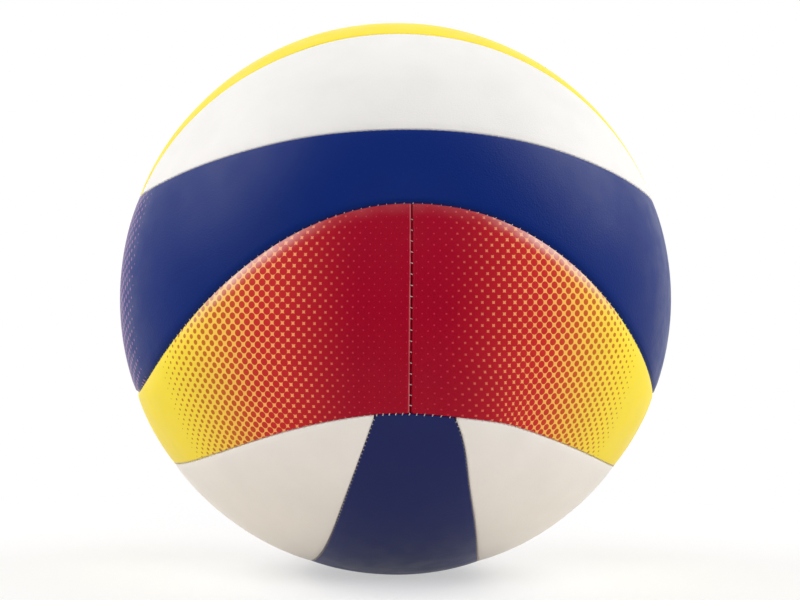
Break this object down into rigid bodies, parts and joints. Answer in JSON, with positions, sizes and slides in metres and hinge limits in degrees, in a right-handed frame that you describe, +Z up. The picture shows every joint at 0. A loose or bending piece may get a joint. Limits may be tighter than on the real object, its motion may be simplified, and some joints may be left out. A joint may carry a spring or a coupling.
{
  "type": "beach volleyball",
  "caption": "Sewn soft-touch beach volleyball with interlocking wave-seamed panels over foam and cloth, a rubber bladder and a self-sealing needle valve.",
  "frame": {"origin": "centre of the ball", "axes": "+Z up through the middle of the yellow centre strip, which runs along X; the pictured front faces -Y"},
  "size_m": [0.2132, 0.2132, 0.2132],
  "materials": {
    "cover_white": "satin soft-touch synthetic leather",
    "cover_yellow": "satin soft-touch synthetic leather",
    "cover_blue": "satin soft-touch synthetic leather",
    "cover_red": "satin soft-touch synthetic leather, red fading to yellow in printed dots",
    "foam": "closed-cell foam",
    "lining_cloth": "woven cloth",
    "seam_thread": "bonded polyester thread",
    "bladder_rubber": "matt butyl rubber",
    "valve_rubber": "smooth rubber"
  },
  "bodies": {
    "ball": {"top_centre_cover": "cover_yellow", "top_centre_foam": "foam", "top_centre_lining": "lining_cloth", "top_front_cover": "cover_white", "top_front_foam": "foam", "top_front_lining": "lining_cloth", "top_back_cover": "cover_white", "top_back_foam": "foam", "top_back_lining": "lining_cloth", "upper_front_cover": "cover_blue", "upper_front_foam": "foam", "upper_front_lining": "lining_cloth", "upper_back_cover": "cover_blue", "upper_back_foam": "foam", "upper_back_lining": "lining_cloth", "lower_left_cover": "cover_red", "lower_left_foam": "foam", "lower_left_lining": "lining_cloth", "lower_right_cover": "cover_red", "lower_right_foam": "foam", "lower_right_lining": "lining_cloth", "bottom_centre_cover": "cover_blue", "bottom_centre_foam": "foam", "bottom_centre_lining": "lining_cloth", "bottom_left_cover": "cover_white", "bottom_left_foam": "foam", "bottom_left_lining": "lining_cloth", "bottom_right_cover": "cover_white", "bottom_right_foam": "foam", "bottom_right_lining": "lining_cloth", "waist_seam_thread": "seam_thread", "top_ring_seam_thread": "seam_thread", "bottom_ring_seam_thread": "seam_thread", "top_front_seam_thread": "seam_thread", "top_back_seam_thread": "seam_thread", "bottom_left_seam_thread": "seam_thread", "bottom_right_seam_thread": "seam_thread", "upper_right_seam_thread": "seam_thread", "upper_left_seam_thread": "seam_thread", "lower_back_seam_thread": "seam_thread", "lower_front_seam_thread": "seam_thread", "bladder": "bladder_rubber", "valve_housing": "valve_rubber"},
    "plug": {"valve_plug": "valve_rubber"}
  },
  "joints": [
    {"name": "plug_pull", "type": "slide", "parent": "ball", "child": "plug", "axis": [0, 0.5837, 0.812], "range_m": [0, 0.016]}
  ]
}
